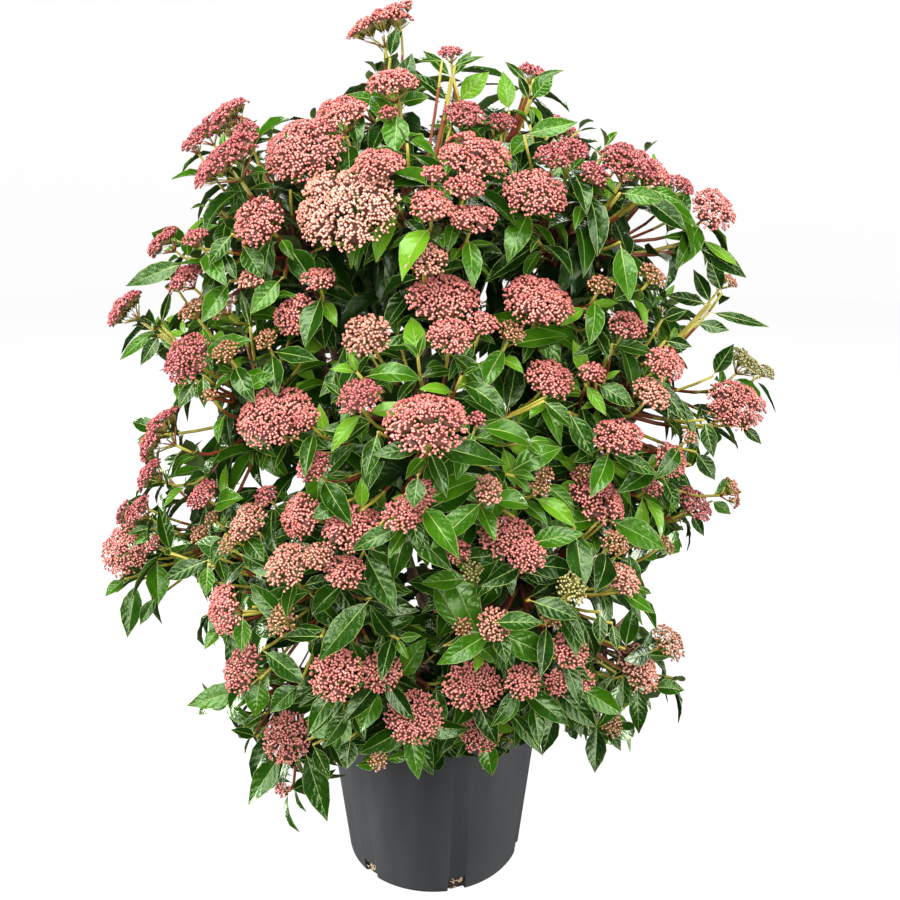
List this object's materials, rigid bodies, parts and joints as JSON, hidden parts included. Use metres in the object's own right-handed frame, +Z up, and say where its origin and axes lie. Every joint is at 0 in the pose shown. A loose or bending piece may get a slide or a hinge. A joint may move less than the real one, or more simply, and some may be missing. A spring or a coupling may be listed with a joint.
{
  "type": "potted laurustinus",
  "caption": "Rounded, many-stemmed evergreen shrub with clustered flower buds, growing in a tapered plastic nursery pot.",
  "frame": {"origin": "centre of the pot's flat underside", "axes": "+Z up, along the pot's axis; the side that the picture shows faces -Y, with +X to its right"},
  "size_m": [0.8487, 0.7575, 1.0812],
  "materials": {
    "pot_plastic": "dark grey injection-moulded plastic, satin, with faint vertical streaks",
    "compost": "moist dark brown potting compost with roots",
    "bark": "smooth red-brown bark with fine lenticels, rougher at the foot",
    "foliage": "glossy dark green leaves and rose-pink flower buds on green and red-brown twigs"
  },
  "bodies": {
    "root": {"pot": "pot_plastic", "root_ball": "compost", "trunk": "bark", "stem_leader": "bark", "stem_front_left": "bark", "stem_front_right": "bark", "stem_right": "bark", "stem_back_right": "bark", "stem_back_left": "bark", "stem_left": "bark", "bough_top_right": "bark", "bough_upper_front": "bark", "bough_mid_front": "bark", "bough_mid_front_left": "bark", "bough_mid_front_right": "bark", "bough_mid_right": "bark", "bough_mid_back_right": "bark", "bough_mid_back_left": "bark", "bough_mid_left": "bark", "bough_low_front_left": "bark", "bough_low_front_right": "bark", "bough_low_right": "bark", "bough_low_back_right": "bark", "bough_low_back_left": "bark", "bough_low_left": "bark", "bough_skirt_front": "bark", "bough_skirt_front_left": "bark", "bough_skirt_front_right": "bark", "bough_skirt_right": "bark", "bough_skirt_back_right": "bark", "bough_skirt_back_left": "bark", "foliage_top_left": "foliage", "foliage_top_right": "foliage", "foliage_upper_front": "foliage", "foliage_upper_front_left": "foliage", "foliage_upper_front_right": "foliage", "foliage_upper_right": "foliage", "foliage_upper_back_right": "foliage", "foliage_upper_back_left": "foliage", "foliage_upper_left": "foliage", "foliage_mid_front": "foliage", "foliage_mid_front_left": "foliage", "foliage_mid_front_right": "foliage", "foliage_mid_right": "foliage", "foliage_mid_back_right": "foliage", "foliage_mid_back_left": "foliage", "foliage_mid_left": "foliage", "foliage_low_front_left": "foliage", "foliage_low_front_right": "foliage", "foliage_low_right": "foliage", "foliage_low_back_right": "foliage", "foliage_low_back_left": "foliage", "foliage_low_left": "foliage", "foliage_skirt_front": "foliage", "foliage_skirt_front_left": "foliage", "foliage_skirt_front_right": "foliage", "foliage_skirt_right": "foliage", "foliage_skirt_back_right": "foliage", "foliage_skirt_back_left": "foliage"}
  },
  "joints": []
}
